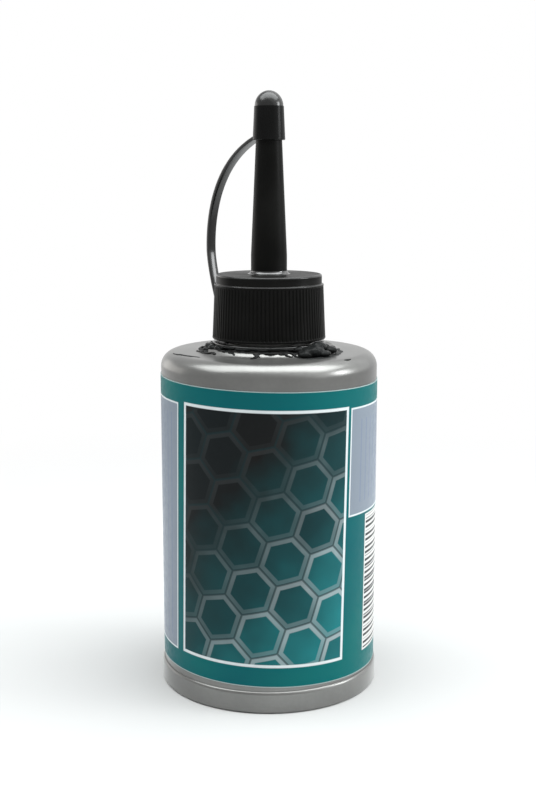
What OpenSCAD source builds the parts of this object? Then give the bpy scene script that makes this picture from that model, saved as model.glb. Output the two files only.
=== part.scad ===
// Squeeze bottle of graphite lock lubricant with a long screw-on spout and a tethered tip cap.
// Sizes are in millimetres. The origin is the centre of the standing ring, +Z is up, -Y is the front.

/* [Bottle] */
// Diameter of the body above its base band
panel_d = 42; // [36:0.5:52]
// Height of the shoulder's outer edge above the table
shoulder_h = 65.95; // [60:0.05:90]
// How far the base band stands proud of the side above it
band_rise = 0.45; // [0.15:0.05:0.7]
// Height of the base band, from the table to the foot of the side above it
base_band_h = 4.25; // [3.2:0.05:8]
// Radius of the rounding between the side and the shoulder
shoulder_round = 2.9; // [1.5:0.1:3.5]
// Radius of the rounding between the base band and the base
base_round = 0.5; // [0.3:0.05:2]
// How much higher the shoulder is at the neck than at its edge
shoulder_fall = 0.25; // [0.15:0.05:0.8]
// Wall thickness of the blown body
wall = 0.9; // [0.6:0.05:1]
// Width of the ring that the bottle stands on
standing_ring_w = 3; // [2.8:0.1:4]
// Height of the push-up at the middle of the base
push_up = 2.4; // [1.5:0.1:3.5]

/* [Neck] */
// Height of the neck's lip above the shoulder
neck_h = 12.3; // [10:0.05:16]
// Wall thickness of the neck at the root of its thread
neck_wall = 1.5; // [1.2:0.1:2.5]
// Height of the thread's crests over its root
thread_depth = 1.04; // [0.8:0.02:1.3]
// How far the bead round the foot of the neck stands out of it
bead_rise = 0.5; // [0.3:0.05:0.6]
// Height of the bead
bead_h = 0.9; // [0.6:0.05:1.2]

/* [Contents and label] */
// Depth of the lubricant above the table, at its level surface
fill_level = 58.4; // [30:0.1:60]
// Bare height between the base band and the label
label_foot_margin = 0.9; // [0.5:0.05:8]
// Bare height between the label and the rounding of the shoulder
label_head_margin = 1.9; // [0.5:0.05:8]
// Thickness of the label
label_t = 0.1; // [0.06:0.01:0.12]
// Thickness of the glue under the label
glue_t = 0.03; // [0.01:0.01:0.05]
// Bare strip between the label's two ends, at the back
label_seam_w = 2; // [1:0.1:10]

/* [Closure] */
// Diameter over the ribs at the skirt's lower rim
skirt_d = 21.88; // [21.4:0.02:24]
// Wall thickness of the skirt, from its bore to the crests of the ribs at the lower rim
skirt_wall = 1.92; // [1.7:0.02:2.3]
// How much less the diameter over the ribs is at the top of the skirt
skirt_draft = 0.86; // [0.4:0.02:1]
// Number of grip ribs round the skirt
rib_count = 88; // [60:1:110]
// Depth of the grooves between the ribs
rib_depth = 0.22; // [0.12:0.01:0.3]
// Height of the plain rim below the ribs and of the plain edge above them
rib_margin = 0.4; // [0.3:0.05:0.8]
// How far the plain rim and edge stand out past the ribs
rim_rise = 0.04; // [0.03:0.01:0.1]
// How far the plain band under the top lies inside the skirt's upper edge
step_in = 0.35; // [0.2:0.05:0.5]
// Height of the plain band under the top
step_h = 1.85; // [1.2:0.05:2.5]
// Thickness of the closure's top
deck_t = 1.4; // [1.2:0.05:2]
// Radial clearance between the closure's bore and the neck's thread
thread_clearance = 0.12; // [0.05:0.01:0.2]
// Thickness of the sealing washer
washer_t = 0.8; // [0.5:0.05:1.2]
// Diameter of the hole in the sealing washer
washer_hole_d = 6.4; // [5.4:0.1:9]

/* [Spout] */
// Height of the spout above the closure's top
spout_h = 31.4; // [24:0.1:45]
// Diameter of the parallel foot of the spout
spout_foot_d = 6.94; // [6:0.02:9]
// Height of the parallel foot
spout_foot_h = 3.6; // [2:0.1:8]
// Diameter of the spout at its tip
spout_tip_d = 4.42; // [4:0.02:5]
// Radius of the fillet where the spout meets the closure's top
foot_fillet = 0.8; // [0.4:0.05:1.4]
// Diameter of the spout's channel at its foot
channel_d = 4.4; // [3:0.1:4.8]
// Diameter of the hole at the spout's tip
orifice_d = 1.2; // [0.8:0.05:1.6]

/* [Tip cap] */
// Length of spout that the cap covers
cap_grip = 6.35; // [4.5:0.05:9]
// Wall thickness of the cap
cap_wall = 0.55; // [0.45:0.05:0.9]
// Height of the cap's dome
dome_h = 2.9; // [2:0.1:3.5]
// Radial clearance between the cap and the spout, and between its pin and the orifice
cap_clearance = 0.05; // [0.02:0.01:0.1]
// Length of the pin that closes the orifice
pin_l = 2; // [1:0.1:3]

/* [Tether] */
// Height of the ring round the neck
ring_h = 1.3; // [1:0.05:1.8]
// Free height under the ring, which hangs from the strap
ring_lift = 0.3; // [0.1:0.05:0.6]
// Radial width of the ring
ring_w = 1.9; // [1.4:0.05:2.2]
// Radial clearance between the ring and the neck's thread
ring_clearance = 0.16; // [0.1:0.02:0.3]
// Free height between the ring and the closure's lower rim
ring_play = 0.55; // [0.4:0.05:1.5]
// Width of the strap
strap_w = 1.8; // [1.4:0.1:3]
// Thickness of the strap
strap_t = 0.7; // [0.5:0.05:0.9]
// Distance from the axis to the strap's middle where it bows out furthest
strap_reach = 17.5; // [14:0.1:20]
// Direction in which the strap leaves, behind the bottle's left side, in degrees
strap_angle = 48; // [0:1:80]

/* [Hidden] */
$fn = 96;

// Segments in a quarter turn of a rounded outline, and along each curve of the strap
arc_steps = 8;
curve_steps = 12;
// Overrun of every cut past the surface that it opens
overrun = 1;

// Bottle: radii, heights and the rounded corners of its outline
panel_r = panel_d / 2;
band_r = panel_r + band_rise;
label_z = base_band_h + label_foot_margin;
label_h = shoulder_h - shoulder_round - label_head_margin - label_z;
ramp_h = band_rise;
cavity_r = panel_r - wall;
cavity_round = shoulder_round - wall;
floor_round = base_round + wall / 2;
stand_outer_r = band_r - base_round;
stand_inner_r = stand_outer_r - standing_ring_w;
dome_round = push_up / 2;

// Neck, measured from the level land round its foot
land_z = shoulder_h + shoulder_fall;
lip_z = land_z + neck_h;
closure_bore_r = skirt_d / 2 - skirt_wall;
thread_r = closure_bore_r - thread_clearance;
neck_r = thread_r - thread_depth;
neck_bore_r = neck_r - neck_wall;
lip_round = (neck_r - neck_bore_r) / 5;
bead_r = neck_r + bead_rise;
bead_z = land_z + ring_lift + ring_h + ring_play / 2;

// Ring and strap round the neck
ring_hole_r = thread_r + ring_clearance;
ring_outer_r = ring_hole_r + ring_w;
ring_z = land_z + ring_lift;
ring_mid_z = ring_z + ring_h / 2;
land_r = ring_outer_r + ring_clearance;
tab_l = strap_t / 2;
tab_w = strap_w + strap_t;

// Closure, seated on the washer that lies on the neck's lip
skirt_z = ring_z + ring_h + ring_play;
deck_low_z = lip_z + washer_t;
deck_z = deck_low_z + deck_t;
skirt_r = skirt_d / 2;
skirt_top_r = skirt_r - skirt_draft / 2;
rim_r = skirt_r + rim_rise;
edge_r = skirt_top_r + rim_rise;
core_r = (closure_bore_r + skirt_top_r - rib_depth) / 2;
step_r = edge_r - step_in;
step_z = deck_z - step_h;
rib_low_z = skirt_z + rib_margin;
rib_high_z = step_z - rib_margin;
rim_bevel = rib_margin / 3;
deck_bevel = step_in;
washer_r = thread_r;

// Spout
tip_z = deck_z + spout_h;
foot_r = spout_foot_d / 2;
foot_z = deck_z + spout_foot_h;
tip_r = spout_tip_d / 2;
orifice_r = orifice_d / 2;
tip_bevel = (tip_r - orifice_r) / 4;
orifice_l = pin_l + orifice_r;

// Tip cap
cap_z = tip_z - cap_grip;
pin_r = orifice_r - cap_clearance;
crease_step = cap_wall / 6;
crease_z = tip_z + crease_step;

// Strap: its foot stands off the ring, it bows out past the closure and ends at the cap's tab
strap_gap = cap_clearance * 3;
foot_bend = strap_t;
// Heights of the widest point, from the strap's foot to its head
bulge_share = 0.43;
// Places of the curves' handles, out from the near end to the bulge and up from the lower end
low_out_share = [0.35, 0.95];
low_up_share = [0.16, 0.72];
high_out_share = [1.015, 0.84];
high_up_share = [0.33, 0.79];
cap_rim_r = spout_r(cap_z) + cap_clearance + cap_wall;
head = [cap_rim_r + strap_w / 2, cap_z];
foot_end = [ring_outer_r + tab_l, ring_mid_z];
foot_top = [foot_end[0] + foot_bend, ring_mid_z + ring_h / 2 + foot_bend];
bulge = [strap_reach, foot_top[1] + bulge_share * (head[1] - foot_top[1])];

function arc(centre, radius, from, to) =
  [for (i = [0:arc_steps]) let(a = from + (to - from) * i / arc_steps) centre + radius * [cos(a), sin(a)]];

// Radius of the spout's outside at a height
function spout_r(z) =
  z < foot_z ? foot_r : foot_r + (tip_r - foot_r) * (z - foot_z) / (tip_z - foot_z);

// A point of a cubic curve and its direction there
function bezier(p, t) =
  pow(1 - t, 3) * p[0] + 3 * pow(1 - t, 2) * t * p[1] + 3 * (1 - t) * t * t * p[2] + pow(t, 3) * p[3];
function heading(p, t) =
  let(d = pow(1 - t, 2) * (p[1] - p[0]) + 2 * (1 - t) * t * (p[2] - p[1]) + t * t * (p[3] - p[2]))
  d / norm(d);
function left_of(d) = [-d[1], d[0]];

// The outside of the bottle, from the middle of the base to the lip
bottle_outside = concat(
  [[0, push_up]],
  arc([stand_inner_r - dome_round, push_up - dome_round], dome_round, 90, 0),
  [[stand_inner_r, 0]],
  arc([stand_outer_r, base_round], base_round, -90, 0),
  [
    [band_r, base_band_h - ramp_h],
    [panel_r, base_band_h]
  ],
  arc([panel_r - shoulder_round, shoulder_h - shoulder_round], shoulder_round, 0, 90),
  [
    [land_r, land_z],
    [neck_r, land_z],
    [neck_r, bead_z],
    [bead_r, bead_z + bead_rise / 2],
    [bead_r, bead_z + bead_h - bead_rise / 2],
    [neck_r, bead_z + bead_h]
  ],
  arc([neck_r - lip_round, lip_z - lip_round], lip_round, 0, 90)
);

// The inside of the bottle from the middle of its floor to the bore, drawn in by a margin
function cavity(margin) = concat(
  [[0, push_up + wall + margin]],
  arc(
    [stand_inner_r - dome_round, push_up - dome_round], dome_round + wall + margin, 90,
    asin((wall + margin + dome_round - push_up) / (dome_round + wall + margin))
  ),
  arc([cavity_r - floor_round, wall + floor_round], floor_round - margin, -90, 0),
  arc([cavity_r - cavity_round, shoulder_h - wall - cavity_round], cavity_round - margin, 0, 90),
  [[neck_bore_r, land_z - wall]]
);

module bottle() {
  color("#908d89")
    difference() {
      rotate_extrude() polygon(concat(bottle_outside, [[0, lip_z]]));
      rotate_extrude()
        polygon(concat(cavity(0), [[neck_bore_r, lip_z + overrun], [0, lip_z + overrun]]));
    }
}

// The lubricant fills the cavity up to its level surface
module lubricant_fill() {
  color("#2b2b2e")
    intersection() {
      rotate_extrude() polygon(concat(cavity(cap_clearance), [[0, land_z - wall]]));
      cylinder(r = panel_r, h = fill_level);
    }
}

// The label is a sleeve round the side, open by its seam at the back
module label() {
  seam_angle = label_seam_w / (PI * panel_d) * 360;
  color("#1a7272")
    rotate([0, 0, 90 + seam_angle / 2])
      rotate_extrude(angle = 360 - seam_angle)
        translate([panel_r + glue_t, label_z]) square([label_t, label_h]);
}

// One outline of the ribbed grip: grooves and flat-topped ribs, each a share of the pitch
module grip_outline() {
  pitch = 360 / rib_count;
  groove_r = skirt_r - rib_depth;
  rib_shares = [0, 0.3, 0.45, 0.85];
  polygon([
    for (i = [0:rib_count - 1], k = [0:3])
      let(a = (i + rib_shares[k]) * pitch, r = k < 2 ? groove_r : skirt_r)
        r * [cos(a), sin(a)]
  ]);
}

// The plain forms of the closure: rim, core, edge, step, top, foot fillet and spout
closure_outside = concat(
  [
    [0, skirt_z],
    [rim_r - rim_bevel, skirt_z],
    [rim_r, skirt_z + rim_bevel],
    [rim_r, rib_low_z],
    [core_r, rib_low_z],
    [core_r, rib_high_z],
    [edge_r, rib_high_z],
    [edge_r, step_z - rim_bevel],
    [edge_r - rim_bevel, step_z],
    [step_r, step_z],
    [step_r, deck_z - deck_bevel]
  ],
  arc([step_r - deck_bevel, deck_z - deck_bevel], deck_bevel, 0, 90),
  arc([foot_r + foot_fillet, deck_z + foot_fillet], foot_fillet, -90, -180),
  [
    [foot_r, foot_z],
    [spout_r(tip_z - tip_bevel), tip_z - tip_bevel],
    [tip_r - tip_bevel, tip_z],
    [0, tip_z]
  ]
);

module closure() {
  channel_h = tip_z - orifice_l - deck_low_z;
  color("#1b1b1d")
    difference() {
      union() {
        rotate_extrude() polygon(closure_outside);
        translate([0, 0, rib_low_z])
          linear_extrude(height = rib_high_z - rib_low_z, scale = skirt_top_r / skirt_r) grip_outline();
      }
      translate([0, 0, skirt_z - overrun]) cylinder(r = closure_bore_r, h = deck_low_z - skirt_z + overrun);
      translate([0, 0, deck_low_z]) cylinder(d1 = channel_d, d2 = orifice_d, h = channel_h);
      translate([0, 0, deck_low_z - overrun]) cylinder(r = orifice_r, h = tip_z - deck_low_z + 2 * overrun);
    }
}

// The washer lies between the neck's lip and the closure's top
module seal_washer() {
  color("#e4e1d8")
    translate([0, 0, lip_z])
      difference() {
        cylinder(r = washer_r, h = washer_t);
        translate([0, 0, -overrun]) cylinder(d = washer_hole_d, h = washer_t + 2 * overrun);
      }
}

// The cap's outside: a slightly tapered thimble, a crease and a dome
cap_outside = concat(
  [
    [0, cap_z],
    [cap_rim_r, cap_z],
    [spout_r(tip_z) + cap_clearance + cap_wall, crease_z]
  ],
  [
    for (i = [0:arc_steps])
      let(a = 90 * i / arc_steps, r = spout_r(tip_z) + cap_clearance + cap_wall - crease_step)
        [r * cos(a), crease_z + dome_h * sin(a)]
  ]
);

// The socket for the spout's tip ends at the tip's flat, with the pin in its middle
cap_socket = [
  [pin_r, cap_z - overrun],
  [spout_r(cap_z) + cap_clearance, cap_z - overrun],
  [spout_r(cap_z) + cap_clearance, cap_z],
  [spout_r(tip_z) + cap_clearance, tip_z],
  [pin_r, tip_z]
];

module tip_cap() {
  color("#17171a")
    difference() {
      union() {
        rotate_extrude() polygon(cap_outside);
        in_strap_plane(strap_w)
          polygon([
            head + strap_t / 2 * left_of(head_heading),
            head - strap_t / 2 * left_of(head_heading),
            tab_root - strap_t / 2 * left_of(head_heading),
            tab_root + strap_t / 2 * left_of(head_heading)
          ]);
      }
      rotate_extrude() polygon(cap_socket);
      translate([0, 0, cap_z - overrun]) cylinder(r = pin_r + cap_clearance, h = tip_z - pin_l - cap_z + overrun);
    }
}

// Draws an outline of distance from the axis and height as a plate in the strap's plane
module in_strap_plane(width) {
  rotate([0, 0, 180 - strap_angle])
    rotate([90, 0, 0]) translate([0, 0, -width / 2]) linear_extrude(height = width) children();
}

// The strap's three curves: up from the ring, out past the closure, and in to the cap
function between(a, b, out, up) = [a[0] + out * (b[0] - a[0]), a[1] + up * (b[1] - a[1])];
low_curve = [
  foot_top,
  between(foot_top, bulge, low_out_share[0], low_up_share[0]),
  between(foot_top, bulge, low_out_share[1], low_up_share[1]),
  bulge
];
high_curve = [
  bulge,
  between([head[0], bulge[1]], [bulge[0], head[1]], high_out_share[0], high_up_share[0]),
  between([head[0], bulge[1]], [bulge[0], head[1]], high_out_share[1], high_up_share[1]),
  head
];
head_heading = heading(high_curve, 1);
tab_root = head + (head[0] - cap_rim_r + cap_wall / 2) / -head_heading[0] * head_heading;
low_heading = heading(low_curve, 0);
foot_curve = [
  foot_end,
  foot_end + foot_bend * 2 / 3 * [1, 0],
  foot_top - foot_bend * low_heading,
  foot_top
];
function strap_side(side) = concat(
  [for (i = [0:arc_steps - 1]) let(t = i / arc_steps)
    bezier(foot_curve, t) + side * left_of(heading(foot_curve, t))],
  [for (i = [0:curve_steps - 1]) let(t = i / curve_steps)
    bezier(low_curve, t) + side * left_of(heading(low_curve, t))],
  [for (i = [0:curve_steps - 1]) let(t = i / curve_steps)
    bezier(high_curve, t) + side * left_of(heading(high_curve, t))],
  [head - strap_gap * head_heading + side * left_of(head_heading)]
);
strap_points = strap_side(0);
strap_length = [for (i = [1:len(strap_points) - 1]) norm(strap_points[i] - strap_points[i - 1])]
  * [for (i = [1:len(strap_points) - 1]) 1];
echo(strap_length = strap_length);

module tether_strap() {
  outer = strap_side(strap_t / 2);
  inner = strap_side(-strap_t / 2);
  color("#17171a")
    in_strap_plane(strap_w)
      polygon(concat(outer, [for (i = [len(inner) - 1:-1:0]) inner[i]]));
}

// The ring hangs loose round the neck, just over its land, with a tab where the strap leaves
module tether_ring() {
  color("#17171a")
    difference() {
      union() {
        translate([0, 0, ring_z]) cylinder(r = ring_outer_r, h = ring_h);
        in_strap_plane(tab_w)
          translate([ring_hole_r + ring_w / 2, ring_mid_z - strap_t / 2])
            square([ring_w / 2 + tab_l, strap_t]);
      }
      translate([0, 0, ring_z - overrun]) cylinder(r = ring_hole_r, h = ring_h + 2 * overrun);
    }
}

bottle();
lubricant_fill();
label();
closure();
seal_washer();
tip_cap();
tether_strap();
tether_ring();
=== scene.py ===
import math
import random

import bpy
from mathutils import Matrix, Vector


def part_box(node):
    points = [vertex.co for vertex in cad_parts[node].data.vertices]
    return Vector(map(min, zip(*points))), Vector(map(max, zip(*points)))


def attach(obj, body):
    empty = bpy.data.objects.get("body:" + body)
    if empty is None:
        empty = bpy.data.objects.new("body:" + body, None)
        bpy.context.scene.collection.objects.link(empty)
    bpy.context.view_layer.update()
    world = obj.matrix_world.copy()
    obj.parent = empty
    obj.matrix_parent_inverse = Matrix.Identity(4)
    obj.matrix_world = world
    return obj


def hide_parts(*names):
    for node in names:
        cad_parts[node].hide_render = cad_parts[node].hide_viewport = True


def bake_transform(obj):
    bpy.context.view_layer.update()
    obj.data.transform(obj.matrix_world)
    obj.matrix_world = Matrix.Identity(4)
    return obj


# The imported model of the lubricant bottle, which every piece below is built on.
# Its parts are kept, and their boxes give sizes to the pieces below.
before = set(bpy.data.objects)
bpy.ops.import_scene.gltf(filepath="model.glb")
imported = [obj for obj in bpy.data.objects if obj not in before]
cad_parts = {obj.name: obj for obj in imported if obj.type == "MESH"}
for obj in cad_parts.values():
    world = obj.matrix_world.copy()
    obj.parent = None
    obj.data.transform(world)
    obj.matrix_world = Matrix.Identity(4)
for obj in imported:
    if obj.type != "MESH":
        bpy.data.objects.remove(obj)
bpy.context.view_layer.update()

# The camera stands about 24 cm in front of the bottle's axis and looks slightly down, so that
# the shoulder and the closure's top show as thin ellipses.
MM = 0.001
camera_aside = -0.19 * MM
camera_back = 240.72 * MM
camera_height = 99.27 * MM
camera_pitch = math.radians(10.2)
film_height = 36.0
focal_length = 56.08

bpy.ops.object.select_all(action="DESELECT")
bpy.ops.object.camera_add(
    location=(camera_aside, -camera_back, camera_height),
    rotation=(math.pi / 2 - camera_pitch, 0, 0),
)
camera = bpy.context.object
camera.name = "front_camera"
camera.data.sensor_fit = "VERTICAL"
camera.data.sensor_height = film_height
camera.data.lens = focal_length
camera.data.clip_start = 10 * MM
bpy.context.scene.camera = camera
bpy.context.scene.view_settings.view_transform = "Standard"

# The floor is a pale sheet that turns white away from the bottle and keeps its shadow. A wide dim
# lamp hangs overhead towards the right, and a long brighter one draws the streak along the shoulder.
# A small lamp stands at the right, and a low dim one behind at the left.
floor_reach = 1.5
shadow_reach = 0.09
white_reach = 0.26
floor_pale = 0.68
floor_shaded = 0.35
room_light = 0.25
lamp_aim = Vector((0, 0, 0.06))
cool_white = (0.97, 1.0, 1.0)
blue_white = (0.97, 0.99, 1.0)
warm_white = (1.0, 0.97, 0.92)


def add_node(tree, kind, inputs=None, **settings):
    """Adds a shader node, makes its choices, and fills its sockets with values or links."""
    made = tree.nodes.new(kind)
    for name, value in settings.items():
        setattr(made, name, value)
    for key, value in (inputs or {}).items():
        if isinstance(value, bpy.types.NodeSocket):
            tree.links.new(value, made.inputs[key])
        else:
            made.inputs[key].default_value = value
    return made


def maths(tree, operation, *values):
    """One step of arithmetic on sockets or numbers."""
    made = tree.nodes.new("ShaderNodeMath")
    made.operation = operation
    for socket, value in zip(made.inputs, values):
        if isinstance(value, bpy.types.NodeSocket):
            tree.links.new(value, socket)
        else:
            socket.default_value = value
    return made.outputs[0]


def ramp_between(tree, value, low, high, to_low=0.0, to_high=1.0):
    """Takes a value from one range to another, smoothly and without overshoot."""
    made = add_node(
        tree,
        "ShaderNodeMapRange",
        {"Value": value, "From Min": low, "From Max": high, "To Min": to_low, "To Max": to_high},
        interpolation_type="SMOOTHSTEP",
    )
    return made.outputs["Result"]


def seen_directly(tree):
    """1 for what the camera sees itself, in a reflection or through something clear."""
    path = tree.nodes.new("ShaderNodeLightPath")
    either = maths(tree, "MAXIMUM", path.outputs["Is Camera Ray"], path.outputs["Is Glossy Ray"])
    return maths(tree, "MAXIMUM", either, path.outputs["Is Transmission Ray"])


def floor_material():
    """Pale and matt near the bottle, where the camera sees its shadow, and plain white further out."""
    material = bpy.data.materials.new("pale_floor")
    material.use_nodes = True
    tree = material.node_tree
    tree.nodes.clear()
    place = tree.nodes.new("ShaderNodeTexCoord").outputs["Object"]
    distance = add_node(tree, "ShaderNodeVectorMath", {0: place}, operation="LENGTH").outputs["Value"]
    camera_ray = tree.nodes.new("ShaderNodeLightPath").outputs["Is Camera Ray"]
    tone = ramp_between(tree, camera_ray, 0.0, 1.0, floor_pale, floor_shaded)
    matt = add_node(tree, "ShaderNodeBsdfDiffuse", {"Color": tone})
    white = add_node(tree, "ShaderNodeEmission", {"Strength": 1.0})
    far = ramp_between(tree, distance, shadow_reach, white_reach)
    shown = add_node(tree, "ShaderNodeMixShader", {0: far, 1: matt.outputs[0], 2: white.outputs[0]})
    whole = add_node(
        tree, "ShaderNodeMixShader", {0: seen_directly(tree), 1: matt.outputs[0], 2: shown.outputs[0]}
    )
    add_node(tree, "ShaderNodeOutputMaterial", {"Surface": whole.outputs[0]})
    return material


bpy.ops.mesh.primitive_plane_add(size=2 * floor_reach, location=(0, 0, 0))
floor = bpy.context.object
floor.name = "floor"
floor.data.materials.append(floor_material())

world = bpy.data.worlds.new("soft_room")
world.use_nodes = True
bpy.context.scene.world = world
sky = world.node_tree
sky.nodes.clear()
brightness = ramp_between(sky, seen_directly(sky), 0.0, 1.0, room_light, 1.0)
room = add_node(sky, "ShaderNodeBackground", {"Color": (1, 1, 1, 1), "Strength": brightness})
add_node(sky, "ShaderNodeOutputWorld", {"Surface": room.outputs[0]})


def soft_lamp(name, place, width, height, power, colour):
    """A rectangular soft lamp that faces the middle of the bottle, of a power in watts."""
    bpy.ops.object.light_add(type="AREA", location=place)
    lamp = bpy.context.object
    lamp.name = name
    lamp.data.shape = "RECTANGLE"
    lamp.data.size = width
    lamp.data.size_y = height
    lamp.data.energy = power
    lamp.data.color = colour
    facing = lamp_aim - Vector(place)
    lamp.rotation_euler = facing.to_track_quat("-Z", "Y").to_euler()


soft_lamp("wide_overhead_lamp", (0.36, 0, 0.56), width=1.5, height=1.5, power=7.5, colour=cool_white)
soft_lamp("overhead_lamp", (0, -0.03, 0.55), width=1.15, height=0.44, power=12.0, colour=cool_white)
soft_lamp("right_lamp", (0.6, -0.07, 0.25), width=0.2, height=0.2, power=2.0, colour=blue_white)
soft_lamp("left_lamp", (-0.5, 0.35, 0.14), width=0.5, height=0.24, power=0.55, colour=warm_white)

# The bottle is blown from silver polyethylene, with a pinched weld across its push-up base.
# Its base band stands proud of the side, a low rise on the shoulder circles the neck, and the
# neck carries a bead and one and a half turns of a right-handed thread.
body_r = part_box("bottle")[1].x / MM
lip_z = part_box("bottle")[1].z / MM
band_rise = 0.45
panel_r = body_r - band_rise
wall = 0.9
base_band = 4.25
band_head = 0.85
shoulder_z = 65.95
shoulder_round = 2.9
side_low_margin = 0.4
side_high_margin = 0.6
base_round = 0.5
standing_ring = 3.0
standing_round = 0.4
push_up = 2.4
land_z = 66.2
land_r = 11.12
rise_profile = [
    (14.9, 66.02),
    (14.2, 66.05),
    (13.7, 66.15),
    (13.35, 66.31),
    (13.08, 66.52),
    (12.85, 66.73),
    (12.65, 66.86),
    (12.45, 66.90),
    (12.15, 66.78),
    (11.75, 66.55),
    (11.3, 66.35),
]
neck_r = 7.86
neck_bore = 6.36
neck_fillet = 0.6
bead_r = 8.36
bead_z = 68.1
bead_h = 0.9
lip_round = 0.3
throat_h = 0.8
throat_flare = 0.4
body_steps = 192
weld_length = 27.0
weld_width = 0.5
weld_depth = 0.18
weld_bevel = 0.8 * weld_depth
thread_pitch = 3.175
thread_turns = 1.5
thread_r = 8.9
thread_root = 1.9
thread_crest = 0.9
thread_sunk = 0.12
thread_steps = 96
thread_below_lip = 1.4
thread_top = lip_z - thread_below_lip
run_out_share = 0.08
smooth_below = math.radians(32)
doubles_reach = 1e-6
silver_dark = (0.104, 0.104, 0.101)
silver_light = (0.132, 0.132, 0.128)
silver_roughness = (0.28, 0.31)
cloud_scale = 70.0
rub_scale = 160.0
flake_scale = 1500.0
flake_share = 0.1
mould_line_w = 0.14
mould_line_h = 0.04


def arc(centre, radius, start, end, steps=8):
    """Points of an arc in (radius, height), from one angle to another in degrees."""
    angles = [math.radians(start + (end - start) * i / steps) for i in range(steps + 1)]
    return [(centre[0] + radius * math.cos(a), centre[1] + radius * math.sin(a)) for a in angles]


def lathe(name, outline, steps, closed=True):
    """Draws an outline of (radius, height) points in millimetres and spins it round the axis."""
    bpy.ops.object.select_all(action="DESELECT")
    bpy.ops.mesh.primitive_plane_add(size=MM, location=(0, 0, 0))
    piece = bpy.context.object
    piece.name = name
    piece.data.name = name
    bpy.ops.object.mode_set(mode="EDIT")
    bpy.ops.mesh.select_all(action="SELECT")
    bpy.ops.mesh.merge(type="CENTER")
    bpy.ops.transform.translate(value=(outline[0][0] * MM, 0, outline[0][1] * MM))
    points = outline + [outline[0]] if closed else outline
    for here, there in zip(points, points[1:]):
        step = ((there[0] - here[0]) * MM, 0, (there[1] - here[1]) * MM)
        bpy.ops.mesh.extrude_vertices_move(TRANSFORM_OT_translate={"value": step})
    bpy.ops.mesh.select_all(action="SELECT")
    bpy.ops.mesh.remove_doubles(threshold=doubles_reach)
    bpy.ops.mesh.spin(steps=steps, angle=math.tau, center=(0, 0, 0), axis=(0, 0, 1))
    bpy.ops.mesh.remove_doubles(threshold=doubles_reach)
    bpy.ops.mesh.normals_make_consistent(inside=False)
    bpy.ops.object.mode_set(mode="OBJECT")
    bpy.ops.object.shade_smooth_by_angle(angle=smooth_below)
    return piece


def screw_thread(name, root_r, crest_r, middle_z):
    """A right-handed thread of a tapering square section, run out into the wall at both ends."""
    bpy.ops.object.select_all(action="DESELECT")
    bpy.ops.mesh.primitive_plane_add(size=MM, rotation=(math.pi / 2, 0, 0))
    thread = bpy.context.object
    thread.name = name
    bpy.ops.object.transform_apply(rotation=True)
    corners = len(thread.data.vertices)
    for vertex in thread.data.vertices:
        at_crest = vertex.co.x > 0
        reach = crest_r if at_crest else root_r
        width = thread_crest if at_crest else thread_root
        side = math.copysign(width / 2, vertex.co.z)
        vertex.co = (reach * MM, 0, (middle_z + side) * MM)
    wind = thread.modifiers.new("wind", "SCREW")
    wind.angle = math.tau * thread_turns
    wind.screw_offset = thread_pitch * thread_turns * MM
    wind.steps = round(thread_steps * thread_turns)
    wind.render_steps = wind.steps
    all_steps = wind.steps
    bpy.ops.object.modifier_apply(modifier="wind")
    for index, vertex in enumerate(thread.data.vertices):
        along = (index // corners) / all_steps
        share = min(1.0, min(along, 1 - along) / run_out_share)
        reach = math.hypot(vertex.co.x, vertex.co.y)
        drawn_in = root_r * MM + (reach - root_r * MM) * share
        vertex.co.x *= drawn_in / reach
        vertex.co.y *= drawn_in / reach
    bpy.ops.object.mode_set(mode="EDIT")
    bpy.ops.mesh.select_all(action="SELECT")
    bpy.ops.mesh.remove_doubles(threshold=doubles_reach)
    bpy.ops.mesh.fill_holes(sides=0)
    bpy.ops.mesh.normals_make_consistent(inside=False)
    bpy.ops.object.mode_set(mode="OBJECT")
    return thread


def join_to(piece, extra):
    """Makes an extra mesh part of a piece."""
    bpy.ops.object.select_all(action="DESELECT")
    extra.select_set(True)
    piece.select_set(True)
    bpy.context.view_layer.objects.active = piece
    bpy.ops.object.join()
    bpy.ops.object.shade_smooth_by_angle(angle=smooth_below)


def start_material(name):
    """A new material, its nodes, its shader, and the place on the piece that patterns follow."""
    material = bpy.data.materials.new(name)
    material.use_nodes = True
    tree = material.node_tree
    place = tree.nodes.new("ShaderNodeTexCoord").outputs["Object"]
    return material, tree, tree.nodes["Principled BSDF"], place


def noise(tree, place, scale, detail):
    """A soft random pattern from 0 to 1, finer with a greater scale."""
    made = add_node(tree, "ShaderNodeTexNoise", {"Vector": place, "Scale": scale, "Detail": detail})
    return made.outputs["Fac"]


def two_tones(tree, share, first, second, first_at=0.0, second_at=1.0):
    """Passes from one colour to another as a share grows."""
    made = add_node(tree, "ShaderNodeValToRGB", {"Fac": share})
    made.color_ramp.elements[0].position = first_at
    made.color_ramp.elements[0].color = (*first, 1)
    made.color_ramp.elements[1].position = second_at
    made.color_ramp.elements[1].color = (*second, 1)
    return made


def relief(tree, shader, height, strength, depth):
    """Gives the surface a fine relief, of a depth in millimetres."""
    inputs = {"Height": height, "Strength": strength, "Distance": depth * MM}
    bump = add_node(tree, "ShaderNodeBump", inputs)
    tree.links.new(bump.outputs["Normal"], shader.inputs["Normal"])


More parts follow.
